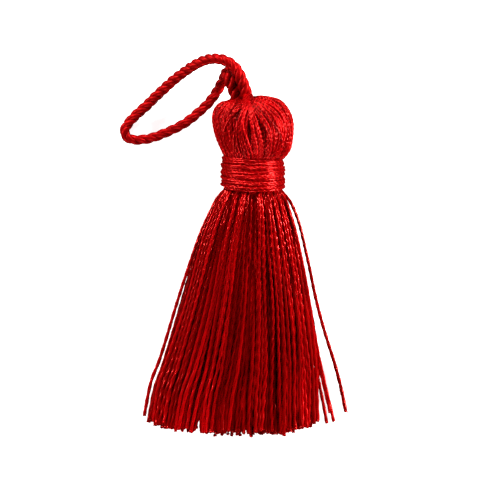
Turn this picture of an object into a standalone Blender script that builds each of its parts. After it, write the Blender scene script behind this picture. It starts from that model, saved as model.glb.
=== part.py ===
# Silk tassel lying on its back on a table: a hank of twisted thread is folded over a cord loop, bound at the
# neck, and fans out below it as a skirt of loose strands.
# Metres, +Z up. The origin is on the table under the middle of the head, and the skirt runs towards -Y.

import math
import random

import bmesh
import bpy
from mathutils import Vector

MM = 0.001

# Driving dimensions, in millimetres.
HEAD_HEIGHT = 7.9  # middle of the head above the table
NOSE_UP_DEG = 2.5  # the head is thicker than the skirt, so it points slightly upwards
NECK_RADIUS = 5.9
NECK_END = -13.0  # along the head's axis, where the bound neck ends
BINDING_GAP = 0.3
BINDING_TOP = -6.5
BINDING_END = -12.7
BINDING_THICK = 0.62
BINDING_TURNS = (0.82, 0.74, 0.8, 0.72, 0.86, 0.7, 0.78, 0.76, 0.82)  # width of each wound turn to the others
SKIRT_LENGTH = 50.6  # of one strand, from the neck to its tip
SHORT_RIGHT = 1.8  # how much shorter the strands at the right edge are
UNEVEN_CUT = 0.6  # usual difference in length between one strand and the next
ROOT_RADIUS = 5.25  # of the bundle of strands where it leaves the neck
ROOT_DEPTH = 0.35  # how deep a strand's root sits in the neck
STRAND_PITCH = 0.65  # between neighbouring strands at the root
STRAND_RADIUS = 0.26
SKIRT_LOFT = 7.0  # height of the pile of strands at the tips
LOWEST_LAYER = 0.2  # strands whose tips would end lower than this above the table lie on it
SPRING = 1.1  # how far the outer strands spring up and down just past the binding
SPRING_SHARE = 0.08  # of its length, where a strand has sprung furthest
SINK_SHARE = 0.17  # of its length, that a strand takes to sink each millimetre
CLUMP_SWAY = 0.16  # how far strands lean together into clumps
NUDGE = 0.05  # how far one strand lies off its even place
CORD_RADIUS = 1.05
CORD_HOLLOW = 0.76  # the hollows between its plies, as a share of that
CORD_LEAD = 5.4  # length of one full twist of the three-ply cord
CORD_STEPS = 12  # to each full twist

# The head, from the neck over the shoulder into the dimple that the loop comes out of. Each row is a ring: x of
# its left and right ends, its reach above and below the axis, and how far along the axis each of these is.
HEAD_RINGS = (
    # left_x, right_x, upper, under, left_y, right_y, upper_y, under_y
    (-5.9, 5.9, 5.9, 5.9, -6.3, -6.5, -6.4, -6.4),
    (-6.3, 7.1, 6.7, 6.6, -5.7, -5.5, -5.6, -5.6),
    (-6.7, 7.7, 7.3, 7.2, -4.4, -4.2, -4.3, -4.3),
    (-7.5, 8.2, 8.0, 7.9, -2.3, -2.1, -2.2, -2.2),
    (-8.2, 8.4, 8.4, 8.3, 0.1, -0.1, 0.1, 0.1),
    (-8.4, 8.2, 8.2, 8.1, 2.2, 2.0, 2.1, 2.1),
    (-8.0, 7.4, 7.4, 7.3, 3.9, 3.9, 3.9, 3.9),
    (-7.1, 6.0, 6.1, 6.1, 5.0, 5.6, 5.1, 5.2),
    (-6.2, 4.2, 4.6, 4.6, 5.5, 6.6, 5.8, 6.1),
    (-5.5, 2.6, 3.2, 3.2, 5.6, 7.0, 6.0, 6.4),
    (-5.1, 1.2, 2.2, 2.2, 5.3, 6.6, 5.7, 6.0),
    (-4.9, 0.6, 1.8, 1.8, 4.5, 4.5, 4.5, 4.5),
)
RIDGES = 28  # raised folds of thread round the head
RIDGE_DEPTH = 0.24
THREAD_SLANT_DEG = 22  # how far a thread turns round the head on its way down

# How wide the skirt has spread, as a share of a strand's length: x of its left and right edges.
SKIRT_SPREAD = (
    # share, left_x, right_x
    (0.0, -5.25, 5.25),
    (0.05, -8.0, 7.6),
    (0.2, -11.1, 9.5),
    (0.5, -15.5, 12.2),
    (0.75, -18.7, 13.6),
    (1.0, -21.3, 13.9),
)
STRAND_SWELL = (1.0, 1.1, 1.25, 1.35, 1.4, 1.45)  # thickness at each of those shares, as the twist relaxes

# Strands that have left the pile, counted in from its edge: the side, the rank, how far out they stand near
# the neck and at the tip, and how much shorter they are.
STRAYS = (
    # side, rank, near, tip, shorter
    (1, 0, 1.5, 6.1, 2.2),
    (1, 1, 0.9, 4.5, 0.4),
    (1, 2, 0.2, 3.3, 1.0),
    (1, 3, 0.1, 2.2, -0.8),
    (-1, 0, 0.7, 1.8, 1.2),
    (-1, 1, 0.2, 0.9, 0.4),
)

# The loop's middle line, in millimetres, from the right leg round to the left one.
LOOP_ROUTE = (
    (-1.0, 4.95, 8.15),
    (-1.1, 6.0, 8.35),
    (-1.6, 7.9, 8.7),
    (-2.35, 10.05, 9.0),
    (-3.3, 11.9, 9.15),
    (-4.7, 13.3, 9.0),
    (-6.35, 14.05, 8.5),
    (-8.2, 14.2, 7.6),
    (-10.0, 13.8, 6.4),
    (-11.9, 12.9, 5.1),
    (-13.9, 11.6, 3.7),
    (-16.0, 10.0, 2.5),
    (-18.0, 8.2, 1.6),
    (-20.1, 6.3, 1.15),
    (-22.0, 4.4, 1.08),
    (-23.9, 2.7, 1.08),
    (-25.6, 0.9, 1.08),
    (-26.35, -0.5, 1.08),
    (-26.05, -1.75, 1.08),
    (-24.8, -2.45, 1.08),
    (-22.8, -2.45, 1.08),
    (-20.7, -2.05, 1.08),
    (-18.0, -1.05, 1.08),
    (-15.0, 0.35, 1.1),
    (-12.9, 1.7, 1.25),
    (-10.9, 3.4, 1.7),
    (-9.3, 4.9, 2.3),
    (-7.9, 6.7, 3.0),
    (-6.9, 8.3, 3.5),
    (-6.05, 9.85, 3.95),
    (-5.55, 10.95, 4.75),
    (-5.35, 11.4, 5.95),
    (-5.2, 11.05, 7.15),
    (-4.9, 10.2, 7.8),
    (-4.4, 9.0, 7.85),
    (-3.8, 7.5, 7.6),
    (-3.3, 6.1, 7.4),
    (-3.15, 4.95, 7.3),
)

AXIS_TURN = math.radians(NOSE_UP_DEG)


def clear_scene():
    for obj in list(bpy.data.objects):
        bpy.data.objects.remove(obj)


def collection_named(name):
    made = bpy.data.collections.new(name)
    bpy.context.scene.collection.children.link(made)
    return made


def silk(name, colour, roughness):
    material = bpy.data.materials.new(name)
    material.use_nodes = True
    shader = material.node_tree.nodes["Principled BSDF"]
    shader.inputs["Base Color"].default_value = (*colour, 1.0)
    shader.inputs["Roughness"].default_value = roughness
    shader.inputs["Metallic"].default_value = 0.0
    return material


def placed(x, along, up):
    """A point of the head's own frame, on its tilted axis, in metres on the table."""
    turned_y = along * math.cos(AXIS_TURN) - up * math.sin(AXIS_TURN)
    turned_z = along * math.sin(AXIS_TURN) + up * math.cos(AXIS_TURN)
    return Vector((x, turned_y, max(0.0, HEAD_HEIGHT + turned_z))) * MM


def ring_point(row, angle, swell):
    """A point of one ring of the head: angle 0 is its right end and a quarter turn is its upper side."""
    left_x, right_x, upper, under, left_y, right_y, upper_y, under_y = row
    across, rise = math.cos(angle), math.sin(angle)
    side_y = right_y if across > 0 else left_y
    face, face_y = (upper, upper_y) if rise > 0 else (under, under_y)
    along = side_y * across**2 + face_y * rise**2
    x = (left_x + right_x) / 2 + ((right_x - left_x) / 2 + swell) * across
    return placed(x, along, (face + swell) * rise)


def head_mesh():
    """The neck and head as rings, with a raised fold of thread on every second column of points."""
    columns = 2 * RIDGES
    rings = []
    slant = math.radians(THREAD_SLANT_DEG)
    shape = bmesh.new()
    neck_end = (-NECK_RADIUS, NECK_RADIUS, NECK_RADIUS, NECK_RADIUS, NECK_END, NECK_END, NECK_END, NECK_END)
    angles = [2 * math.pi * column / columns - slant for column in range(columns)]
    rings.append([shape.verts.new(ring_point(neck_end, angle, 0.0)) for angle in angles])
    for index, row in enumerate(HEAD_RINGS):
        climbed = index / (len(HEAD_RINGS) - 1)
        fold = RIDGE_DEPTH * math.sin(math.pi * climbed) ** 0.5
        ring = []
        for column in range(columns):
            angle = 2 * math.pi * column / columns - slant * (1 - climbed)
            pressed = max(0.0, -math.sin(angle)) ** 2
            swell = fold * (1 - pressed) * (1 if column % 2 else -1)
            ring.append(shape.verts.new(ring_point(row, angle, swell)))
        rings.append(ring)
    for lower, higher in zip(rings, rings[1:]):
        for column in range(columns):
            after = (column + 1) % columns
            shape.faces.new((lower[column], lower[after], higher[after], higher[column]))
    shape.faces.new(rings[0])
    shape.faces.new(reversed(rings[-1]))
    flat_spot = [face for face in shape.faces if all(vert.co.z == 0.0 for vert in face.verts)]
    bmesh.ops.dissolve_faces(shape, faces=flat_spot, use_verts=True)
    bmesh.ops.recalc_face_normals(shape, faces=shape.faces)
    mesh = bpy.data.meshes.new("thread_hank")
    shape.to_mesh(mesh)
    shape.free()
    return mesh


def root_places():
    """Where the strands leave the neck, as shares of the bundle's radius, in staggered level rows."""
    places = []
    row_step = STRAND_PITCH * math.sqrt(3) / 2
    rows = int(ROOT_RADIUS / row_step)
    for row in range(-rows, rows + 1):
        up = row * row_step
        half = math.sqrt(ROOT_RADIUS**2 - up**2)
        shift = STRAND_PITCH / 2 if row % 2 else 0.0
        first = math.ceil((-half - shift) / STRAND_PITCH)
        last = math.floor((half - shift) / STRAND_PITCH)
        for step in range(first, last + 1):
            places.append(((step * STRAND_PITCH + shift) / ROOT_RADIUS, up / ROOT_RADIUS))
    return places


def ease(share):
    share = min(1.0, max(0.0, share))
    return share * share * (3 - 2 * share)


def between(left_x, right_x, u):
    return (left_x + right_x) / 2 + u * (right_x - left_x) / 2


def strand_rows(u, v, stray, chance):
    """Points, thickness and tilt of the strand that leaves the neck at (u, v), down to its cut tip."""
    near, tip, shorter = stray
    side = math.copysign(1.0, u)
    uneven = max(-2.5 * UNEVEN_CUT, min(1.7 * UNEVEN_CUT, chance.gauss(0.0, UNEVEN_CUT)))
    nudge_x = chance.uniform(-NUDGE, NUDGE)
    nudge_z = chance.uniform(0.0, NUDGE)
    root_y = (NECK_END + ROOT_DEPTH) * math.cos(AXIS_TURN)
    root_z = HEAD_HEIGHT + NECK_END * math.sin(AXIS_TURN) + ROOT_RADIUS * v
    table = STRAND_RADIUS * STRAND_SWELL[-1] / 2
    lifted = SKIRT_LOFT * (math.sqrt(1 - u * u) + v) / 2
    if tip > 0 or lifted < LOWEST_LAYER:
        lifted = nudge_z = 0.0
    tip_z = table + lifted
    drop = root_z - tip_z
    clump = CLUMP_SWAY * (math.sin(19 * u + 5 * v) + math.sin(31 * u - 9 * v + 1.3))
    tip_x = between(*SKIRT_SPREAD[-1][1:], u) + side * tip
    length = SKIRT_LENGTH - SHORT_RIGHT * max(0.0, u) ** 2 - shorter + uneven
    run = math.sqrt(length**2 - (tip_x - ROOT_RADIUS * u) ** 2 - drop**2)
    rows = []
    for (share, left_x, right_x), swell in zip(SKIRT_SPREAD, STRAND_SWELL):
        strayed = side * (near * min(1.0, share / SKIRT_SPREAD[1][0]) + (tip - near) * share**3)
        x = between(left_x, right_x, u) + strayed + (clump + nudge_x) * share
        sunk = ease(share / min(1.0, SPRING_SHARE + SINK_SHARE * max(0.5, drop)))
        sprung = SPRING * v * share / SPRING_SHARE * math.exp(1 - share / SPRING_SHARE)
        z = max(table, root_z - drop * sunk + sprung) + nudge_z * share
        rows.append(((x, root_y - run * share, z), swell, 0.0))
    return rows


def strays_by_place(places):
    """What STRAYS says of the outermost strands on each side, by where they leave the neck."""
    found = {}
    for side, rank, near, tip, shorter in STRAYS:
        outermost = sorted(places, key=lambda place: (-side * place[0], place[1]))
        found[outermost[rank]] = (near, tip, shorter)
    return found


def curve_object(name, splines, profile_points, home):
    """Open straight-sided splines of (point, radius, tilt), swept with a closed profile and capped."""
    profile = bpy.data.curves.new(name + "_profile", "CURVE")
    profile.dimensions = "2D"
    outline = profile.splines.new("POLY")
    outline.points.add(len(profile_points) - 1)
    for point, (x, y) in zip(outline.points, profile_points):
        point.co = (x * MM, y * MM, 0.0, 1.0)
    outline.use_cyclic_u = True
    profile_object = bpy.data.objects.new(name + "_profile", profile)
    profile_object.hide_render = True
    profile_object.display_type = "WIRE"
    home["guides"].objects.link(profile_object)
    curve = bpy.data.curves.new(name, "CURVE")
    curve.dimensions = "3D"
    curve.bevel_mode = "OBJECT"
    curve.bevel_object = profile_object
    curve.use_fill_caps = True
    for rows in splines:
        spline = curve.splines.new("POLY")
        spline.points.add(len(rows) - 1)
        for point, (place, radius, tilt) in zip(spline.points, rows):
            point.co = (*(Vector(place) * MM), 1.0)
            point.radius = radius
            point.tilt = tilt
    return bpy.data.objects.new(name, curve)


def meshed(curve_obj, home):
    """The same sweep as a closed mesh object, with its caps welded on."""
    home.objects.link(curve_obj)
    bpy.context.view_layer.update()
    evaluated = curve_obj.evaluated_get(bpy.context.evaluated_depsgraph_get())
    mesh = bpy.data.meshes.new_from_object(evaluated)
    shape = bmesh.new()
    shape.from_mesh(mesh)
    bmesh.ops.remove_doubles(shape, verts=shape.verts, dist=0.002 * MM)
    bmesh.ops.recalc_face_normals(shape, faces=shape.faces)
    shape.to_mesh(mesh)
    shape.free()
    made = bpy.data.objects.new(curve_obj.name + "_solid", mesh)
    made.matrix_world = curve_obj.matrix_world
    bpy.data.objects.remove(curve_obj)
    home.objects.link(made)
    return made


def skirt_strands(home):
    """Every strand as a three-sided prism that starts inside the neck and ends at its cut tip."""
    chance = random.Random(5)
    places = root_places()
    strays = strays_by_place(places)
    splines = [strand_rows(*place, strays.get(place, (0.0, 0.0, 0.0)), chance) for place in places]
    corners = [math.radians(120 * corner - 30) for corner in range(3)]
    profile = [(STRAND_RADIUS * math.cos(angle), STRAND_RADIUS * math.sin(angle)) for angle in corners]
    swept = curve_object("skirt_strands", splines, profile, home)
    swept.data.twist_mode = "Z_UP"
    strands = meshed(swept, home["guides"])
    strands.hide_render = True
    strands.display_type = "WIRE"
    return strands


def thread_hank(home, material):
    hank = bpy.data.objects.new("thread_hank", head_mesh())
    hank.data.materials.append(material)
    home["tassel"].objects.link(hank)
    joined = hank.modifiers.new("strands", "BOOLEAN")
    joined.operation = "UNION"
    joined.object = skirt_strands(home)
    return hank


def neck_binding(home, material):
    """A ring of wound thread: a closed profile with one rounded rib for each turn, screwed round the neck."""
    inner = NECK_RADIUS + BINDING_GAP
    groove = inner + BINDING_THICK / 2
    span = BINDING_TOP - BINDING_END
    height = span / 2
    profile = [(inner, height), (groove, height)]
    for width in BINDING_TURNS:
        step = width * span / sum(BINDING_TURNS)
        crest = inner + BINDING_THICK * (1 - 0.2 * abs(height) / span)
        profile += [(crest, height - 0.3 * step), (crest, height - 0.7 * step), (groove, height - step)]
        height -= step
    profile.append((inner, height))
    mesh = bpy.data.meshes.new("neck_binding")
    shape = bmesh.new()
    points = [shape.verts.new((x * MM, 0.0, z * MM)) for x, z in profile]
    for first, second in zip(points, points[1:] + points[:1]):
        shape.edges.new((first, second))
    shape.to_mesh(mesh)
    shape.free()
    mesh.materials.append(material)
    binding = bpy.data.objects.new("neck_binding", mesh)
    home["tassel"].objects.link(binding)
    screw = binding.modifiers.new("wound", "SCREW")
    screw.angle = 2 * math.pi
    screw.steps = screw.render_steps = 36
    screw.use_merge_vertices = True
    screw.merge_threshold = 0.00001
    binding.rotation_euler = (AXIS_TURN - math.pi / 2, 0.0, 0.0)
    binding.location = placed(0.0, (BINDING_TOP + BINDING_END) / 2, 0.0)
    return binding


def smooth_route(points, step):
    """Points a step apart on the smooth curve through the given ones."""
    points = [Vector(point) for point in points]
    padded = [2 * points[0] - points[1], *points, 2 * points[-1] - points[-2]]
    fine = []
    for before, here, after, beyond in zip(padded, padded[1:], padded[2:], padded[3:]):
        for part in range(24):
            t = part / 24
            bend = 2 * before - 5 * here + 4 * after - beyond
            end = 3 * here - before - 3 * after + beyond
            fine.append((2 * here + (after - before) * t + bend * t**2 + end * t**3) / 2)
    fine.append(points[-1])
    spaced, left = [fine[0]], step
    for start, stop in zip(fine, fine[1:]):
        length = (stop - start).length
        done = 0.0
        while length - done >= left:
            done += left
            spaced.append(start.lerp(stop, done / length))
            left = step
        left -= length - done
    if (spaced[-1] - fine[-1]).length > step / 2:
        spaced.append(fine[-1])
    else:
        spaced[-1] = fine[-1]
    return spaced


def hanging_loop(home, material):
    """The three-ply cord: a three-lobed profile that turns as it runs round the loop."""
    points = smooth_route(LOOP_ROUTE, CORD_LEAD / CORD_STEPS)
    rows = [(point, 1.0, 2 * math.pi * index / CORD_STEPS) for index, point in enumerate(points)]
    profile = []
    for corner in range(9):
        angle = -2 * math.pi * corner / 9
        reach = CORD_RADIUS * (CORD_HOLLOW if corner % 3 == 0 else 1.0)
        profile.append((reach * math.cos(angle), reach * math.sin(angle)))
    loop = curve_object("hanging_loop", [rows], profile, home)
    loop.data.twist_mode = "MINIMUM"
    loop.data.materials.append(material)
    home["tassel"].objects.link(loop)
    return loop


def main():
    clear_scene()
    home = {"tassel": collection_named("silk_tassel"), "guides": collection_named("guides")}
    thread_hank(home, silk("twisted_silk_thread", (0.52, 0.004, 0.006), 0.35))
    neck_binding(home, silk("wound_silk_thread", (0.5, 0.004, 0.006), 0.33))
    hanging_loop(home, silk("silk_cord", (0.5, 0.004, 0.006), 0.32))


main()
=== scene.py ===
import math
import random

import bmesh
import bpy
import numpy as np
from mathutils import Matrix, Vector


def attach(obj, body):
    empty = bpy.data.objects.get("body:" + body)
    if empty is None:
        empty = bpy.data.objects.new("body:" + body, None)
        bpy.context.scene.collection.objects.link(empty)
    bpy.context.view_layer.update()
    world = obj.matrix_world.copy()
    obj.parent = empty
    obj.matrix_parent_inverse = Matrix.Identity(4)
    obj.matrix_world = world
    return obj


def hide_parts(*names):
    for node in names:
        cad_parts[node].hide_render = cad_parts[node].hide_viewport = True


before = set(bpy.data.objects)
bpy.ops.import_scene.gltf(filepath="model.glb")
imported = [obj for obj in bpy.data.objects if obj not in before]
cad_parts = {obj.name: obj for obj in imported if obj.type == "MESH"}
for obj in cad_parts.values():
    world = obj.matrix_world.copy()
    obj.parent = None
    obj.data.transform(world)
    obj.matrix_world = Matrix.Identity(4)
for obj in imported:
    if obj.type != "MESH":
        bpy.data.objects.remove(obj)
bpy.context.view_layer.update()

mm = 0.001
chance = random.Random()  # given a seed by each piece


# Camera, floor and light

frameView = {
    "pixelSize": 0.205,  # millimetres across one of the 500 pixels
    "pixels": 500,
    "middle": (-0.6, -25.0, 4.0),
    "distance": 800.0,
    "lean": 3.0,  # degrees off straight above, towards the head
}

studio = {
    "worldStrength": 0.02,
    "lights": (
        # Name, place in millimetres, size, power. They stand low, so that the sides of each thread shine and
        # its crest stays deep.
        ("left", (-400, 80, 120), 40, 1.1),
        ("right", (400, 30, 140), 40, 3.6),
        ("head_left", (-240, 380, 170), 28, 2.7),
        ("head_right", (230, 390, 170), 28, 2.6),
        ("foot", (-40, -390, 250), 60, 1.5),
    ),
    "aim": (0, -25, 0),
    "tableReach": 1.5,  # metres from the middle to an edge
    "tableDrop": 0.03,  # millimetres below the tassel
    "tableGlow": 0.92,
}


def setCamera():
    data = bpy.data.cameras.new("overhead")
    camera = bpy.data.objects.new("overhead", data)
    bpy.context.collection.objects.link(camera)
    lean = math.radians(frameView["lean"])
    back = Vector((0, math.sin(lean), math.cos(lean)))
    camera.location = (Vector(frameView["middle"]) + back * frameView["distance"]) * mm
    camera.rotation_euler = (-lean, 0, 0)
    data.lens = data.sensor_width * frameView["distance"] / (frameView["pixelSize"] * frameView["pixels"])
    data.clip_start = 0.01
    bpy.context.scene.camera = camera


def toLinear(hexColour):
    parts = [int(hexColour[at:at + 2], 16) / 255 for at in (1, 3, 5)]
    return [*(part / 12.92 if part <= 0.04045 else ((part + 0.055) / 1.055) ** 2.4 for part in parts), 1.0]


def addNode(tree, kind, values=None, links=None, **settings):
    node = tree.nodes.new("ShaderNode" + kind)
    for name, value in settings.items():
        setattr(node, name, value)
    for socket, value in (values or {}).items():
        node.inputs[socket].default_value = value
    for socket, source in (links or {}).items():
        tree.links.new(source, node.inputs[socket])
    return node


def addLight(name, place, size, power):
    data = bpy.data.lights.new(name, "AREA")
    data.size = size * mm
    data.energy = power
    light = bpy.data.objects.new(name, data)
    light.location = Vector(place) * mm
    aim = Vector(studio["aim"]) - Vector(place)
    light.rotation_euler = aim.to_track_quat("-Z", "Y").to_euler()
    bpy.context.collection.objects.link(light)


def setStage():
    world = bpy.data.worlds.new("softbox")
    bpy.context.scene.world = world
    world.use_nodes = True
    world.node_tree.nodes["Background"].inputs["Color"].default_value = (1, 1, 1, 1)
    world.node_tree.nodes["Background"].inputs["Strength"].default_value = studio["worldStrength"]
    for name, place, size, power in studio["lights"]:
        addLight(name, place, size, power)
    bpy.context.scene.view_settings.view_transform = "Standard"
    shape = bmesh.new()
    bmesh.ops.create_grid(shape, x_segments=1, y_segments=1, size=studio["tableReach"])
    bmesh.ops.translate(shape, verts=shape.verts, vec=(0, 0, -studio["tableDrop"] * mm))
    mesh = bpy.data.meshes.new("floor")
    shape.to_mesh(mesh)
    shape.free()
    floor = bpy.data.objects.new("floor", mesh)
    bpy.context.collection.objects.link(floor)
    # A product table of frosted opal acrylic with a soft light under it, which leaves shadows faint.
    acrylic = bpy.data.materials.new("frosted_opal_acrylic")
    acrylic.use_nodes = True
    shader = acrylic.node_tree.nodes["Principled BSDF"]
    shader.inputs["Base Color"].default_value = toLinear("#f8f8f7")
    shader.inputs["Roughness"].default_value = 0.85
    shader.inputs["Emission Color"].default_value = (1, 1, 1, 1)
    shader.inputs["Emission Strength"].default_value = studio["tableGlow"]
    floor.data.materials.append(acrylic)
    floor.visible_glossy = False  # the silk doesn't mirror it, so that its edges stay deep red


# Silk finishes

threadFinish = {
    "deep": "#580000",
    "body": "#960001",
    "bright": "#be0206",
    "filamentsRound": 15,  # real ones are about 0.015 mm, drawn about ten times as coarse so that they show
    "filamentLength": 3.8,  # millimetres before a filament sinks among its neighbours
    "patchSize": 7.0,  # millimetres between paler and deeper stretches of the dye
    "groove": 0.2,  # painted shade, darker in the groove between two plies and paler on their crests
    "roughness": 0.2,
    "lustre": 0.5,
    "gloss": 0.75,
    "relief": 0.035,
    "refraction": 1.54,
    "shine": "#ff6e60",
}

# Loosely twisted silk: its filaments lie straighter, so the streaks are longer and the shine is softer.
slackFinish = {
    "lustre": 0.42,
    "gloss": 0.7,
    "groove": 0.08,
    "filamentLength": 3.4,
}

# Silk pressed together under the head's threads, with almost no shine. It has no tone, so it is darker
# than the threads: painted shade for the dark gaps between them.
packedFinish = {
    "roughness": 0.8,
    "lustre": 0.1,
    "gloss": 0.1,
}

# Tightly laid silk cord, whose fine plies scatter the light: a deeper red with a broad, dull shine.
cordFinish = {
    "deep": "#500000",
    "body": "#800001",
    "bright": "#a40206",
    "filamentsRound": 22,
    "filamentLength": 4.0,
    "groove": 0.0,
    "roughness": 0.4,
    "lustre": 0.35,
    "gloss": 0.15,
}


def silkMaterial(name, finish):
    # Filament silk, twisted and dyed: parallel filaments give a streaky lustre that runs along each ply. The
    # light comes back out through the dyed filament, so its highlights are red, which the metallic share and
    # the tint stand for.
    material = bpy.data.materials.new(name)
    material.use_nodes = True
    tree = material.node_tree
    shader = tree.nodes["Principled BSDF"]
    tone = addNode(tree, "Attribute", attribute_name="tone").outputs["Fac"]
    place = addNode(tree, "TexCoord")
    alongThread = addNode(
        tree, "Mapping", {"Scale": (1 / finish["filamentLength"], finish["filamentsRound"], 1)},
        {"Vector": place.outputs["UV"]},
    )
    filaments = addNode(
        tree, "TexNoise", {"Scale": 1.0, "Detail": 2.0, "Roughness": 0.6},
        {"Vector": alongThread.outputs["Vector"]}, noise_dimensions="2D",
    )
    patches = addNode(
        tree, "TexNoise", {"Scale": 1 / (finish["patchSize"] * mm), "Detail": 1.0},
        {"Vector": place.outputs["Object"]},
    )
    # Painted shade: darker colour in the groove between a thread's two plies, paler on their crests.
    split = addNode(tree, "SeparateXYZ", links={"Vector": place.outputs["UV"]})
    turned = addNode(tree, "Math", {1: 4 * math.pi}, {0: split.outputs["Y"]}, operation="MULTIPLY")
    crests = addNode(tree, "Math", links={0: turned.outputs[0]}, operation="COSINE")
    grooved = addNode(
        tree, "Math", {1: finish["groove"]}, {0: crests.outputs[0], 2: tone},
        operation="MULTIPLY_ADD",
    )
    mixed = addNode(
        tree, "Math", {1: 0.5}, {0: filaments.outputs["Fac"], 2: grooved.outputs[0]},
        operation="MULTIPLY_ADD",
    )
    shade = addNode(
        tree, "Math", {1: 0.35}, {0: patches.outputs["Fac"], 2: mixed.outputs[0]},
        operation="MULTIPLY_ADD",
    )
    ramp = addNode(tree, "ValToRGB", links={"Fac": shade.outputs[0]})
    ramp.color_ramp.elements[0].position = 0.3
    ramp.color_ramp.elements[0].color = toLinear(finish["deep"])
    ramp.color_ramp.elements[1].position = 1.0
    ramp.color_ramp.elements[1].color = toLinear(finish["bright"])
    middle = ramp.color_ramp.elements.new(0.65)
    middle.color = toLinear(finish["body"])
    bump = addNode(
        tree, "Bump", {"Strength": 0.6, "Distance": finish["relief"] * mm},
        {"Height": filaments.outputs["Fac"]},
    )
    tree.links.new(ramp.outputs["Color"], shader.inputs["Base Color"])
    tree.links.new(bump.outputs["Normal"], shader.inputs["Normal"])
    shader.inputs["Roughness"].default_value = finish["roughness"]
    shader.inputs["Metallic"].default_value = finish["lustre"]
    shader.inputs["IOR"].default_value = finish["refraction"]
    shader.inputs["Specular IOR Level"].default_value = finish["gloss"]
    shader.inputs["Specular Tint"].default_value = toLinear(finish["shine"])
    return material


# Threads swept along lines

def ease(share):
    share = min(1.0, max(0.0, share))
    return share * share * (3 - 2 * share)


def smoothTable(rows, at):
    # The row at a place in the first column, on smooth curves through the others.
    keys = [row[0] for row in rows]
    at = min(max(at, keys[0]), keys[-1])
    low = max(index for index in range(len(rows) - 1) if keys[index] <= at)
    made = []
    for column in range(1, len(rows[0])):
        values = [row[column] for row in rows]

        def slope(index):
            before, after = max(0, index - 1), min(len(rows) - 1, index + 1)
            return (values[after] - values[before]) / (keys[after] - keys[before])

        span = keys[low + 1] - keys[low]
        t = (at - keys[low]) / span
        made.append(
            values[low] * (1 + 2 * t) * (1 - t) ** 2 + slope(low) * span * t * (1 - t) ** 2
            + values[low + 1] * t * t * (3 - 2 * t) - slope(low + 1) * span * t * t * (1 - t)
        )
    return made


def smoothRoute(points, step):
    # Points a step apart on the smooth curve through the given ones.
    points = [Vector(point) for point in points]
    padded = [2 * points[0] - points[1], *points, 2 * points[-1] - points[-2]]
    fine = []
    for before, here, after, beyond in zip(padded, padded[1:], padded[2:], padded[3:]):
        for part in range(24):
            t = part / 24
            bend = 2 * before - 5 * here + 4 * after - beyond
            end = 3 * here - before - 3 * after + beyond
            fine.append((2 * here + (after - before) * t + bend * t**2 + end * t**3) / 2)
    fine = np.array([*fine, points[-1]])
    reach = np.concatenate(([0], np.cumsum(np.linalg.norm(np.diff(fine, axis=0), axis=1))))
    stops = np.linspace(0, reach[-1], max(2, round(reach[-1] / step)) + 1)
    return np.stack([np.interp(stops, reach, fine[:, axis]) for axis in range(3)], axis=1)


def roundOutline(corners, waist=1.0, lobes=1):
    # The cross-section of a thread, a circle of one, drawn in between its plies.
    outline = []
    for corner in range(corners):
        angle = -2 * math.pi * corner / corners
        reach = 1 - (1 - waist) * (0.5 - 0.5 * math.cos(lobes * angle)) ** 1.3 if lobes > 1 else 1
        outline.append((reach * math.cos(angle), reach * math.sin(angle)))
    return outline


def sweepThreads(name, runs, outline, material):
    # Each run is (points, radii, tilts, tone), in millimetres. The UV map holds millimetres along, and turns
    # round.
    profile = bpy.data.curves.new(name + "_outline", "CURVE")
    profile.dimensions = "2D"
    edge = profile.splines.new("POLY")
    edge.points.add(len(outline) - 1)
    for point, (x, y) in zip(edge.points, outline):
        point.co = (x * mm, y * mm, 0, 1)
    edge.use_cyclic_u = True
    profileObject = bpy.data.objects.new(name + "_outline", profile)
    curve = bpy.data.curves.new(name, "CURVE")
    curve.dimensions = "3D"
    curve.bevel_mode = "OBJECT"
    curve.bevel_object = profileObject
    curve.twist_mode = "MINIMUM"
    for points, radii, tilts, tone in runs:
        spline = curve.splines.new("POLY")
        spline.points.add(len(points) - 1)
        places = np.ones((len(points), 4), np.float32)
        places[:, :3] = np.asarray(points) * mm
        spline.points.foreach_set("co", places.ravel())
        spline.points.foreach_set("radius", np.asarray(radii, np.float32))
        spline.points.foreach_set("tilt", np.asarray(tilts, np.float32))
    swept = bpy.data.objects.new(name, curve)
    for made in (profileObject, swept):
        bpy.context.collection.objects.link(made)
    bpy.context.view_layer.update()
    mesh = bpy.data.meshes.new_from_object(swept.evaluated_get(bpy.context.evaluated_depsgraph_get()))
    for made in (profileObject, swept):
        bpy.data.objects.remove(made)

    rings = np.array([len(run[0]) for run in runs])
    ofVertex = np.repeat(np.arange(len(runs)), rings * len(outline))
    lengths = np.array([np.linalg.norm(np.diff(np.asarray(run[0]), axis=0), axis=1).sum() for run in runs])
    tones = np.array([run[3] for run in runs], np.float32)
    mesh.attributes.new("tone", "FLOAT", "POINT").data.foreach_set("value", tones[ofVertex])
    corners = np.empty(len(mesh.loops), np.int32)
    mesh.loops.foreach_get("vertex_index", corners)
    places = np.empty(len(mesh.loops) * 2, np.float32)
    mesh.uv_layers[0].data.foreach_get("uv", places)
    places = places.reshape(-1, 2)
    places[:, 0] *= lengths[ofVertex[corners]]
    places[:, 0] += ofVertex[corners] * 7.3  # so that no two threads have the same streaks
    mesh.uv_layers[0].data.foreach_set("uv", places.ravel())

    shape = bmesh.new()
    shape.from_mesh(mesh)
    bmesh.ops.holes_fill(shape, edges=[edge for edge in shape.edges if edge.is_boundary], sides=len(outline))
    bmesh.ops.recalc_face_normals(shape, faces=shape.faces)
    shape.to_mesh(mesh)
    shape.free()
    mesh.shade_smooth()
    mesh.materials.clear()
    mesh.materials.append(material)
    piece = bpy.data.objects.new(name, mesh)
    bpy.context.collection.objects.link(piece)
    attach(piece, "root")
    print(name, "threads", len(runs), "triangles", sum(len(face.vertices) - 2 for face in mesh.polygons))
    return piece


# The loop: three plies of silk laid round each other

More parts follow.
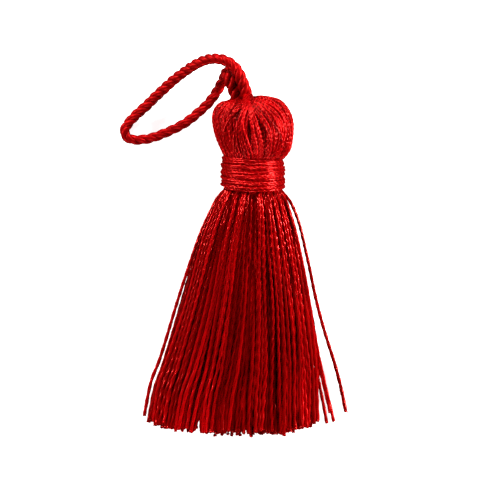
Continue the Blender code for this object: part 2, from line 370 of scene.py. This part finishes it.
loop = {
    "plyRadius": 0.63,
    "plyOffset": 0.51,
    "stout": 1.2,  # how much thicker the cord is where it springs out of the head
    "shortLead": 5.1,  # length of a full twist where the cord is tight
    "longLead": 6.3,  # and on the lower side, where it has opened
    "stepsEachTwist": 22,
    "opens": (0.42, 0.12),  # share of its length where it starts to open, and over how much
    "closes": (0.86, 0.1),  # where it is tight again
    "slimmer": 0.07,  # how much slimmer the opened part is
    "stoutShare": 0.16,  # share at each end where it grows stouter
    "uneven": 0.03,
    "plyTwist": -0.9,  # turns of the plies themselves for each turn of the lay
    "diameter": 2.2,
    "route": (  # millimetres, the same as the solid's
        (-1.0, 4.95, 8.15), (-1.1, 6.0, 8.35), (-1.6, 7.9, 8.7), (-2.35, 10.05, 9.0), (-3.3, 11.9, 9.15),
        (-4.7, 13.3, 9.0), (-6.35, 14.05, 8.5), (-8.2, 14.2, 7.6), (-10.0, 13.8, 6.4), (-11.9, 12.9, 5.1),
        (-13.9, 11.6, 3.7), (-16.0, 10.0, 2.5), (-18.0, 8.2, 1.6), (-20.1, 6.3, 1.15), (-22.0, 4.4, 1.08),
        (-23.9, 2.7, 1.08), (-25.6, 0.9, 1.08), (-26.35, -0.5, 1.08), (-26.05, -1.75, 1.08),
        (-24.8, -2.45, 1.08), (-22.8, -2.45, 1.08), (-20.7, -2.05, 1.08), (-18.0, -1.05, 1.08),
        (-15.0, 0.35, 1.1), (-12.9, 1.7, 1.25), (-10.9, 3.4, 1.7), (-9.3, 4.9, 2.3), (-7.9, 6.7, 3.0),
        (-6.9, 8.3, 3.5), (-6.05, 9.85, 3.95), (-5.55, 10.95, 4.75), (-5.35, 11.4, 5.95), (-5.2, 11.05, 7.15),
        (-4.9, 10.2, 7.8), (-4.4, 9.0, 7.85), (-3.8, 7.5, 7.6), (-3.3, 6.1, 7.4), (-3.15, 4.95, 7.3),
    ),
}


def sideways(line):
    # A pair of directions across the line at each point, carried along it without turning.
    across, third = [], []
    side = Vector((0, 0, 1))
    for index in range(len(line)):
        ahead = Vector(line[min(index + 1, len(line) - 1)] - line[max(index - 1, 0)]).normalized()
        side = (side - ahead * side.dot(ahead)).normalized()
        across.append(side.copy())
        third.append(ahead.cross(side))
    return np.array(across), np.array(third)


def makeLoop(material):
    line = smoothRoute(loop["route"], loop["shortLead"] / loop["stepsEachTwist"])
    across, third = sideways(line)
    share = np.linspace(0, 1, len(line))
    (start, opening), (end, closing) = loop["opens"], loop["closes"]
    opened = np.clip((share - start) / opening, 0, 1) * np.clip((end - share) / closing, 0, 1)
    lead = loop["shortLead"] + (loop["longLead"] - loop["shortLead"]) * opened
    step = np.linalg.norm(np.diff(line, axis=0), axis=1).mean()
    turn = np.cumsum(2 * math.pi * step / lead)
    fromEnd = np.minimum(share, 1 - share)
    stout = 1 + (loop["stout"] - 1) * np.clip(1 - fromEnd / loop["stoutShare"], 0, 1)
    stout = stout * (1 - loop["slimmer"] * opened)
    runs = []
    for ply in range(3):
        angle = turn + 2 * math.pi * ply / 3
        offset = (loop["plyOffset"] * stout)[:, None]
        places = line + offset * (across * np.cos(angle)[:, None] + third * np.sin(angle)[:, None])
        radii = loop["plyRadius"] * stout * (1 + loop["uneven"] * np.sin(share * 41 + ply * 2))
        places[:, 2] = np.maximum(places[:, 2], radii)
        runs.append((places, radii, loop["plyTwist"] * turn, 0.3 + 0.05 * ply))
    piece = sweepThreads("three_ply_loop", runs, roundOutline(12), material)
    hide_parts("hanging_loop")


# The head: a core under three layers of folded thread

head = {
    "seed": 11,
    "middleUp": 7.9,
    "noseUp": math.radians(2.5),
    "rings": (
        # ring, x of the left and right side, reach above and below, and how far along the axis the left,
        # right, upper and under side lie
        (0, -5.9, 6.0, 5.9, 5.9, -5.9, -6.3, -6.0, -6.0),
        (1, -6.2, 6.9, 6.5, 6.5, -5.3, -5.4, -5.3, -5.3),
        (2, -6.7, 7.7, 7.3, 7.2, -4.2, -4.2, -4.2, -4.2),
        (3, -7.5, 8.2, 8.0, 7.9, -2.3, -2.1, -2.2, -2.2),
        (4, -8.2, 8.4, 8.4, 8.3, 0.1, -0.1, 0.1, 0.1),
        (5, -8.4, 8.2, 8.2, 8.1, 2.2, 2.0, 2.1, 2.1),
        (6, -8.0, 7.4, 7.4, 7.3, 3.9, 3.9, 3.9, 3.9),
        (7, -7.1, 6.0, 6.1, 6.1, 5.0, 5.6, 5.1, 5.2),
        (8, -6.2, 4.2, 4.6, 4.6, 5.4, 6.3, 5.8, 6.1),
        (9, -5.5, 2.6, 3.2, 3.2, 5.4, 6.6, 6.0, 6.4),
        (10, -5.1, 1.2, 2.2, 2.2, 5.3, 6.6, 5.7, 6.0),
        (11, -4.9, 0.6, 1.8, 1.8, 4.5, 4.5, 4.5, 4.5),
    ),
    "threadLead": 1.9,  # length of a full twist
    "wave": 0.1,  # how far a thread sways from side to side
    "gather": math.radians(66),  # the side, counted from the right over the top, that the threads close in on
    "slant": 22,  # degrees that a thread a quarter turn away from there goes round on its way down
    "locksRound": 19,
    "lockDraw": 0.2,  # how far a lock's threads are drawn to its middle
    "layers": (
        # name, threads, radius, depth, how far they close in on the cord, spread of the slant by lock and by
        # thread, tone, corners, steps each twist. The tone is painted shade: lower for the deeper layers
        ("head_threads_inner", 88, 0.31, 0.7, 0.0, 3, 2, 0.02, 6, 4),
        ("head_threads_outer", 104, 0.28, 0.38, 0.45, 6, 3, 0.16, 8, 8),
        ("head_threads_crossing", 54, 0.27, 0.12, 0.65, 8, 9, 0.36, 8, 8),
    ),
    "climb": 10.9,  # the ring that a thread ends at, inside the dimple
    "threadSteps": 30,
    "waist": 0.62,  # how far a thread is drawn in between its two plies
    "bow": 2.5,  # degrees
    "threadUneven": 0.17,  # usual difference in tone between one thread and the next
    "coreDepth": 1.25,
    "coreRows": ((-12.9, 5.3), (-12.2, 5.45), (-6.6, 5.5)),  # along the axis, radius
    "coreFloor": 0.6,
    "coreSides": 48,
    "rootFolds": 7,
    "foldRadius": 0.24,
    "foldEnds": ((5.9, 4.2, 0.9), (6.6, 3.1, 0.8), (7.0, 1.8, 0.75), (6.7, 0.4, 0.7)),  # along, up, how close
    "rootMiddle": -1.3,  # x of the middle of the folds that lie over the cord's two ends
}


def onAxis(x, along, up):
    # A point of the head's own frame, which points slightly up, in millimetres on the table.
    turn = head["noseUp"]
    y = along * math.cos(turn) - up * math.sin(turn)
    z = head["middleUp"] + along * math.sin(turn) + up * math.cos(turn)
    return Vector((x, y, z))


def headPoint(ring, angle, depth):
    leftX, rightX, above, below, leftY, rightY, aboveY, belowY = smoothTable(head["rings"], ring)
    across, rise = math.cos(angle), math.sin(angle)
    blendX = 0.5 + 0.5 * across
    blendZ = 0.5 + 0.5 * rise
    sideY = leftY + (rightY - leftY) * blendX
    faceY = belowY + (aboveY - belowY) * blendZ
    face = below + (above - below) * blendZ
    inward = min(1.0, (11.6 - ring) / 5)  # in the dimple the threads lie inside the rim
    along = sideY * across**2 + faceY * rise**2 - depth * (1 - inward)
    x = (leftX + rightX) / 2 + ((rightX - leftX) / 2 - depth * inward) * across
    return onAxis(x, along, (face - depth * inward) * rise)


# With no tone, the core's colour stays darker than the threads': painted shade in the gaps between them.
def makeHeadCore(material):
    shape = bmesh.new()
    sides = head["coreSides"]
    loops = []
    for along, radius in head["coreRows"]:
        made = bmesh.ops.create_circle(shape, segments=sides, radius=radius)["verts"]
        for corner, vert in enumerate(made):
            angle = 2 * math.pi * corner / sides
            vert.co = onAxis(radius * math.cos(angle), along, radius * math.sin(angle))
        loops.append(made)
    for ring in range(len(head["rings"])):
        made = bmesh.ops.create_circle(shape, segments=sides, radius=1)["verts"]
        for corner, vert in enumerate(made):
            vert.co = headPoint(ring, 2 * math.pi * corner / sides, head["coreDepth"])
        loops.append(made)
    edgeLoops = [list(dict.fromkeys(edge for vert in made for edge in vert.link_edges)) for made in loops]
    for lower, upper in zip(edgeLoops, edgeLoops[1:]):
        bmesh.ops.bridge_loops(shape, edges=lower + upper)
    bmesh.ops.holes_fill(shape, edges=[edge for edge in shape.edges if edge.is_boundary], sides=0)
    for vert in shape.verts:
        vert.co.z = max(vert.co.z, head["coreFloor"])
    bmesh.ops.scale(shape, verts=shape.verts, vec=(mm, mm, mm))
    bmesh.ops.recalc_face_normals(shape, faces=shape.faces)
    mesh = bpy.data.meshes.new("packed_core")
    shape.to_mesh(mesh)
    shape.free()
    mesh.shade_smooth()
    mesh.materials.append(material)
    piece = bpy.data.objects.new("packed_core", mesh)
    bpy.context.collection.objects.link(piece)
    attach(piece, "root")
    return piece


def makeHeadThreads(material):
    chance.seed(head["seed"])
    made = []
    for name, count, radius, depth, closing, lockSpread, threadSpread, tone, corners, steps in head["layers"]:
        locks = [(chance.gauss(0, lockSpread), chance.uniform(-0.06, 0.12), chance.gauss(0, 0.12))
                 for lock in range(head["locksRound"])]
        runs = []
        for thread in range(count):
            start = 2 * math.pi * (thread + chance.uniform(-0.4, 0.4)) / count
            lockIndex = int(thread / count * len(locks))
            lockSlant, lockDepth, lockTone = locks[lockIndex]
            drawn = head["lockDraw"] * (2 * math.pi * (lockIndex + 0.5) / len(locks) - start)
            turned = math.radians(head["slant"] * math.sin(start - head["gather"]))
            astray = drawn + math.radians(lockSlant + chance.gauss(0, threadSpread))
            bow = math.radians(chance.gauss(0, head["bow"]))
            sway = [chance.gauss(0, head["wave"]) / 8, chance.uniform(2, 4), chance.uniform(0, 6.28)]
            sunk = depth + lockDepth + chance.uniform(-0.06, 0.08)
            top = head["climb"] - chance.uniform(0, 0.4)
            line = []
            for step in range(head["threadSteps"] + 1):
                ring = top * step / head["threadSteps"]
                climbed = ring / 11
                angle = start - turned * (1 - climbed)
                angle += bow * math.sin(math.pi * climbed)
                angle += astray * ease(1.4 * climbed)
                angle += sway[0] * math.sin(2 * math.pi * sway[1] * climbed + sway[2])
                angle += closing * math.sin(2 * angle) * ease((ring - 3.5) / 5)
                line.append(headPoint(ring, angle, sunk))
            axis = onAxis(0, 0, 0)
            inward = Vector((line[0].x - axis.x, 0, line[0].z - axis.z)) * 0.06
            line.insert(0, line[0] - inward + Vector((0, -1.0, 0)))
            line = smoothRoute(line, head["threadLead"] / steps)
            line[:, 2] = np.maximum(line[:, 2], radius)
            turns = np.arange(len(line)) * 2 * math.pi / steps
            radii = np.full(len(line), radius * chance.uniform(0.94, 1.08))
            tilts = turns + chance.uniform(0, 3)
            runs.append((line, radii, tilts, tone + lockTone + chance.gauss(0, head["threadUneven"])))
        outline = roundOutline(corners, head["waist"], 2)
        made.append(sweepThreads(name, runs, outline, material))
    return made


def makeRootFolds(material):
    # Threads that pass over the ends of the cord and hold them down.
    runs = []
    for fold in range(head["rootFolds"]):
        aside = 2 * (fold + chance.uniform(-0.3, 0.3)) / (head["rootFolds"] - 1) - 1
        middle = head["rootMiddle"]
        line = []
        lean = chance.gauss(0, 0.14)
        for ring in range(8):
            spread = 0.13 + 0.62 * ease((7.4 - ring) / 5)
            angle = math.radians(95) - aside * spread + lean * math.sin(ring * 0.45)
            line.append(headPoint(ring, angle, 0.16 - 0.025 * ring))
        rim = line[-1]
        for along, up, close in head["foldEnds"]:
            line.append(onAxis(middle + (rim.x - middle) * close, along + chance.gauss(0, 0.05), up))
        line = smoothRoute(line, head["threadLead"] / 8)
        turns = np.arange(len(line)) * 2 * math.pi / 8
        radii = np.full(len(line), head["foldRadius"] * chance.uniform(0.92, 1.08))
        runs.append((line, radii, turns + chance.uniform(0, 3), 0.2 + chance.gauss(0, 0.15)))
    return sweepThreads("root_folds", runs, roundOutline(8, 0.7, 2), material)


# The binding: a thread wound round the neck, over most of it in two layers

binding = {
    "seed": 5,
    "radius": 0.27,
    "lead": 2.2,  # length of a full twist
    "stepsEachTurn": 40,
    "topEdge": (-6.2, -0.5, 0.3),  # how far along the axis, and how much further at its right and at its top
    "lowEdge": (-11.85, -0.18, -0.45),
    "tone": 0.32,
    "windings": (
        # first and last share of the way down, distance from the axis, turns, how far a turn wanders
        (0.0, 1.0, 6.14, 15.4, 0.09),
        (0.22, 1.0, 6.4, 9.3, 0.26),
    ),
}


def bindingEdge(share, angle):
    # How far along the axis the winding lies. Its top edge slants, and its lower edge hangs a little.
    top, low = (
        middle + atRight * math.cos(angle) + atTop * math.sin(angle)
        for middle, atRight, atTop in (binding["topEdge"], binding["lowEdge"])
    )
    return top + (low - top) * share


def makeBinding(material):
    chance.seed(binding["seed"])
    runs = []
    for first, last, reach, turns, wander in binding["windings"]:
        phases = [chance.uniform(0, 6.28) for wave in range(4)]
        line = []
        steps = round(turns * binding["stepsEachTurn"])
        for step in range(steps + 1):
            angle = 2 * math.pi * turns * step / steps
            swing = math.sin(angle * 0.37 + phases[0]) + math.sin(angle * 1.13 + phases[1])
            lift = 0.07 * math.sin(angle * 0.61 + phases[2]) + 0.05 * math.sin(angle * 2.3 + phases[3])
            radius = reach + lift
            share = step / steps
            steady = min(1, 5 * share, 5 * (1 - share))
            along = bindingEdge(first + (last - first) * share, angle) + wander * swing * steady
            line.append(onAxis(radius * math.cos(angle), along, radius * math.sin(angle)))
        line = smoothRoute(line, binding["lead"] / 7)
        turn = np.arange(len(line)) * 2 * math.pi / 7
        runs.append((line, np.full(len(line), binding["radius"]), turn, binding["tone"]))
    piece = sweepThreads("wound_binding", runs, roundOutline(8, 0.8, 2), material)
    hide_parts("neck_binding")


# The skirt: loose two-ply strands

skirt = {
    "seed": 3,
    "pitch": 0.6,  # millimetres between neighbouring strands at the neck
    "rootRadius": 5.45,
    "neckEnd": -12.5,
    "length": 50.3,
    "shortRight": 1.8,  # how much shorter the strands at the right edge are
    "unevenCut": 0.36,  # usual difference in length between one strand and the next
    "loft": 7.0,  # height of the pile at the tips
    "proud": 0.42,  # share of the strands that stand above their neighbours
    "spring": 1.2,  # how far the outer strands spring up and down just past the binding
    "springShare": 0.08,  # of its length, where a strand has sprung furthest
    "sinkShare": 0.17,  # of its length, that a strand takes to sink each millimetre
    "strandRadius": 0.34,
    "tightLead": 3.0,  # length of a full twist at the neck
    "slackLead": 6.5,  # and at the cut tips
    "locks": 19,
    "lockPull": 0.26,
    "fan": 0.09,  # how much closer the strands lie towards the skirt's sides than in its middle
    "spread": (  # share of a strand's length, x of the skirt's left and right edge
        (0.0, -5.85, 5.7), (0.02, -6.75, 6.35), (0.05, -7.85, 7.25), (0.2, -11.1, 9.5), (0.5, -15.4, 12.35),
        (0.75, -19.1, 13.75), (0.85, -20.9, 13.95), (1.0, -22.3, 14.05),
    ),
    "strayShares": (0.1, 0.3, 0.5, 0.75, 1.0),
    "strays": (  # side, rank, shorter, and how far outside the skirt at each of those shares
        (1, 0, -0.1, 0.6, 0.5, 0.85, 2.7, 5.0),
        (1, 1, -0.6, 0, 0, 0.15, 1.0, 3.5),
        (1, 2, 0.6, 0, 0, -0.1, 0.5, 2.7),
        (1, 3, -1.5, 0, 0, -0.2, 0.0, 2.1),
        (-1, 0, 0.6, -0.1, 0.0, 0.3, 0.5, 0.1),
        (-1, 1, -0.4, 0, 0, 0, 0.1, 0.1),
    ),
    "underBinding": 1.3,  # how far up under the binding a strand begins
    "tipReach": 17.6,  # from the skirt's middle to its outermost tip, to work out how far down strands run
    "clumpSway": 0.14,  # how far neighbouring strands lean together
    "parting": -11.3,  # x of the narrow gap between two locks at the tips
    "partingWidth": 0.7,
    "stepsAlong": 60,
    "outlines": {  # corners, and how far a strand is drawn in between its two plies
        "proud": (8, 0.56),
        "upper": (8, 0.8),
        "under": (6, 0.8),
        "inner": (5, 1.0),
    },
}


def rootPlaces():
    places = []
    rowStep = skirt["pitch"] * math.sqrt(3) / 2
    rows = int(skirt["rootRadius"] / rowStep)
    for row in range(-rows, rows + 1):
        up = row * rowStep
        half = math.sqrt(skirt["rootRadius"] ** 2 - up**2)
        shift = skirt["pitch"] / 2 if row % 2 else 0
        first = math.ceil((-half - shift) / skirt["pitch"])
        last = math.floor((half - shift) / skirt["pitch"])
        for step in range(first, last + 1):
            places.append(((step * skirt["pitch"] + shift) / skirt["rootRadius"], up / skirt["rootRadius"]))
    return places


def strandLine(u, v, stray, lock, steps):
    shorter, *outward = stray
    tip = outward[-1]
    outward = [(0, 0), *zip(skirt["strayShares"], outward)]
    side = math.copysign(1, u)
    lockU, lockV, lockLift, lockLean = lock
    table = skirt["strandRadius"]
    rootY = skirt["neckEnd"]
    rootZ = onAxis(0, skirt["neckEnd"], 0).z + skirt["rootRadius"] * v
    tipZ = table if tip > 0 else table + skirt["loft"] * (math.sqrt(max(0, 1 - u * u)) + v) / 2
    drop = rootZ - tipZ
    leaning = math.sin(19 * u + 5 * v) + math.sin(31 * u - 9 * v + 1.3)
    clump = skirt["clumpSway"] * leaning * ease(v + 0.9)
    wave = [chance.gauss(0, 0.22), chance.uniform(0.7, 1.7), chance.uniform(0, 6.28), chance.gauss(0, 0.2)]
    row = round(v * skirt["rootRadius"] / (skirt["pitch"] * math.sqrt(3) / 2))
    if v > 0:
        shuffled = chance.gauss(0, 0.03)
    else:  # the under rows lie in each other's gaps
        shuffled = (row * 0.618 % 1 - 0.5) * skirt["pitch"] / skirt["rootRadius"]
    cut = max(-1.6, min(1.1, chance.gauss(0.3 * lockLift, skirt["unevenCut"])))
    length = skirt["length"] - skirt["shortRight"] * max(0, u) ** 2 - shorter + cut
    tipX = (skirt["spread"][-1][1] + skirt["spread"][-1][2]) / 2 + u * skirt["tipReach"] + side * tip
    isProud = chance.random() < skirt["proud"]
    springy = chance.gauss(1.5, 0.35) if isProud else chance.gauss(0.15, 0.25)
    run = math.sqrt(length**2 - (tipX - skirt["rootRadius"] * u) ** 2 - drop**2)
    line = [(skirt["rootRadius"] * u, rootY + skirt["underBinding"], rootZ)]
    for step in range(steps + 1):
        share = step / steps
        pull = skirt["lockPull"] * ease(share / 0.35) * (1 - 0.75 * share) * (1 - u * u) ** 2
        pull *= 0 if tip > 0 else 0.1 + 0.9 * ease(2 * v + 0.6)
        nowU = u + (lockU - u) * pull + (lockLean + shuffled) * share * (1 - u * u)
        nowU += skirt["fan"] * share * math.sin(math.pi * nowU)
        leftX, rightX = smoothTable(skirt["spread"], share)
        strayed = side * smoothTable(outward, share)[0]
        x = (leftX + rightX) / 2 + nowU * (rightX - leftX) / 2 + clump * share + strayed
        x += wave[0] * share * math.sin(6.28 * wave[1] * share + wave[2]) * 1.15
        aside = x - skirt["parting"]
        width = skirt["partingWidth"]
        x += width * math.tanh(12 * aside) * math.exp(-abs(aside) / width) * share**24
        sunk = ease(share / min(1, skirt["springShare"] + skirt["sinkShare"] * max(0.5, drop)))
        grown = share / skirt["springShare"]
        z = rootZ - drop * sunk + skirt["spring"] * v * springy * grown * math.exp(1 - grown)
        z += (lockLift + wave[3] * math.sin(5 * share + wave[2])) * ease(share * 3) * (0 if tip > 0 else 1)
        z += 0.3 * isProud * ease(share * 8) * ease((0.75 - share) * 3)
        line.append((x, rootY - run * share, max(table, z)))
    return line, isProud


def makeSkirt(material):
    chance.seed(skirt["seed"])
    places = rootPlaces()
    strays = {}
    for side, rank, *stray in skirt["strays"]:
        outermost = sorted(places, key=lambda place: (-side * place[0], place[1]))
        strays[outermost[rank]] = stray
    locks = []
    while len(locks) < skirt["locks"]:
        u, v = chance.uniform(-1.0, 1.0), chance.uniform(-1.0, 1.0)
        if u * u + v * v < 1.0 and all((u - a) ** 2 + (v - b) ** 2 > 0.1 for a, b, lift, lean in locks):
            locks.append((u, v, chance.gauss(0, 0.3), chance.gauss(0, 0.01)))
    layers = {"proud": [], "upper": [], "under": [], "inner": []}
    tips = []
    for u, v in places:
        lock = min(locks, key=lambda lock: (lock[0] - u) ** 2 + (lock[1] - v) ** 2)
        stray = strays.get((u, v), (0, 0, 0, 0, 0, 0))
        line, isProud = strandLine(u, v, stray, lock, skirt["stepsAlong"])
        rim = math.hypot(u, v)
        isStray = stray[-1] > 0
        # Random tone, with painted light: proud strands, strays and strands of higher locks are painted
        # paler.
        tone = 0.2 + chance.gauss(0, 0.12) + 0.08 * lock[2] + 0.16 * (isProud or isStray)
        if v > -0.15 and rim > 0.45 or isStray or v > 0.25:
            layer, steps = "proud" if isProud and abs(u) < 0.85 else "upper", 8
        elif rim > 0.72:
            layer, steps = "under", 6
        else:
            layer, steps = "inner", 0
        spacing = skirt["tightLead"] / steps if steps else 3
        line = smoothRoute(line, spacing)
        reach = np.linspace(0, 1, len(line))
        lead = skirt["tightLead"] + (skirt["slackLead"] - skirt["tightLead"]) * reach
        lead *= chance.uniform(0.85, 1.15)
        turns = np.cumsum(2 * math.pi * spacing / lead) + chance.uniform(0, 6.28)
        radii = skirt["strandRadius"] * (0.9 + 0.22 * reach) * chance.uniform(0.9, 1.1)
        radii *= 1.1 if isStray else 1 + 0.2 * reach * (abs(u) ** 4 + ease(-2 * v))  # broader on the table
        line[:, 2] = np.maximum(line[:, 2], radii)
        radii[-1] *= 0.6
        layers[layer].append((line, radii, turns, tone))
        tips.append((line, tone))
    made = []
    for layer, runs in layers.items():
        outline = roundOutline(*skirt["outlines"][layer], 2)
        halves = (runs[0::2], runs[1::2]) if layer in ("proud", "upper") else (runs,)
        for number, half in enumerate(halves):
            name = f"skirt_{layer}_{number + 1}"
            made.append(sweepThreads(name, half, outline, material))
    made.append(makeTips(tips, material))
    return made


# Where the strands were cut, their filaments have sprung apart

fray = {
    "filaments": 6,
    "length": 0.6,
    "radius": 0.17,
    "ring": 0.2,  # how far off the strand's middle the filaments begin
    "within": 0.35,  # how far inside the strand's end
    "narrowing": (1, 1, 0.95, 0.7),
}


def makeTips(tips, material):
    runs = []
    for line, tone in tips:
        end = Vector(line[-1])
        ahead = (Vector(line[-1]) - Vector(line[-4])).normalized()
        side = ahead.cross(Vector((0, 0, 1))).normalized()
        upward = side.cross(ahead)
        for filament in range(fray["filaments"]):
            angle = 2 * math.pi * (filament + chance.uniform(-0.4, 0.4)) / fray["filaments"]
            out = side * math.cos(angle) + upward * math.sin(angle)
            length = fray["length"] * chance.uniform(0.5, 1.0)
            splay = chance.uniform(0.0, 0.1)
            curl = chance.gauss(0, 0.08)
            places = []
            for step in range(4):
                share = step / 3
                place = end + ahead * (length * share - fray["within"])
                place += out * (fray["ring"] + length * splay * share**1.6)
                place += side * (curl * share**2)
                places.append((place.x, place.y, max(place.z, fray["radius"])))
            radii = [fray["radius"] * part for part in fray["narrowing"]]
            runs.append((places, radii, [0] * 4, tone + chance.gauss(0, 0.05)))
    return sweepThreads("cut_tips", runs, roundOutline(4), material)


setCamera()
print("camera set")
setStage()
print("stage lit")
thread = silkMaterial("twisted_filament_silk", threadFinish)
slack = silkMaterial("slack_filament_silk", {**threadFinish, **slackFinish})
coreInShade = silkMaterial("packed_silk_core_painted_shade", {**threadFinish, **packedFinish})
wound = silkMaterial("wound_filament_silk", threadFinish)
cord = silkMaterial("laid_silk_cord", {**threadFinish, **cordFinish})
makeLoop(cord)
print("loop laid")
hank = [makeHeadCore(coreInShade), *makeHeadThreads(thread), makeRootFolds(thread)]
print("head folded")
makeBinding(wound)
print("neck bound")
hank += makeSkirt(slack)
print("skirt hung")
for piece in hank:
    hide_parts("thread_hank")
